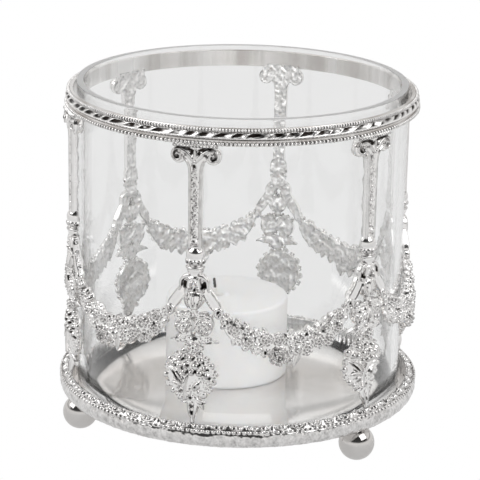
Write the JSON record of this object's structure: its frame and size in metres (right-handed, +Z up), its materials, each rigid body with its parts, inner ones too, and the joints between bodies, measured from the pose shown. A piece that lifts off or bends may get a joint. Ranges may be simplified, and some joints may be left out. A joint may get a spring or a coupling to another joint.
{
  "type": "candle lantern",
  "caption": "Silver-plated candle lantern: open glass cylinder in a cast gallery of columns and flower garlands, on a round tray with ball feet, with a pillar candle inside.",
  "frame": {"origin": "under the middle of the object, on the surface that its three ball feet stand on", "axes": "+Z up, out of the open top; -Y towards the column that faces the front, +X to its right"},
  "size_m": [0.1528, 0.1514, 0.1459],
  "materials": {
    "polished_silver": "polished",
    "cast_silver": "gloss",
    "clear_glass": "gloss",
    "white_wax": "satin",
    "burnt_cotton": "matte"
  },
  "bodies": {
    "stand": {"tray_floor": "polished_silver", "ring_band": "polished_silver", "foot_studs": "polished_silver", "foot_ball_1": "polished_silver", "foot_ball_2": "polished_silver", "foot_ball_3": "polished_silver", "tray_rim": "cast_silver", "rim_bead_wire": "cast_silver", "rope_moulding": "cast_silver", "upper_bead_wire": "cast_silver", "lower_bead_wire": "cast_silver", "column_1": "cast_silver", "column_2": "cast_silver", "column_3": "cast_silver", "column_4": "cast_silver", "column_5": "cast_silver", "column_6": "cast_silver", "knop_1": "cast_silver", "knop_2": "cast_silver", "knop_3": "cast_silver", "knop_4": "cast_silver", "knop_5": "cast_silver", "knop_6": "cast_silver", "pendant_1": "cast_silver", "pendant_2": "cast_silver", "pendant_3": "cast_silver", "pendant_4": "cast_silver", "pendant_5": "cast_silver", "pendant_6": "cast_silver", "swag_1": "cast_silver", "swag_2": "cast_silver", "swag_3": "cast_silver", "swag_4": "cast_silver", "swag_5": "cast_silver", "swag_6": "cast_silver"},
    "glass": {"glass_cylinder": "clear_glass"},
    "candle": {"candle_wax": "white_wax", "candle_wick": "burnt_cotton"}
  },
  "joints": [
    {"name": "glass_lift", "type": "slide", "parent": "stand", "child": "glass", "axis": [0, 0, 1], "range_m": [0, 0.135]},
    {"name": "candle_lift", "type": "slide", "parent": "stand", "child": "candle", "axis": [0, 0, 1], "range_m": [0, 0.135]}
  ]
}
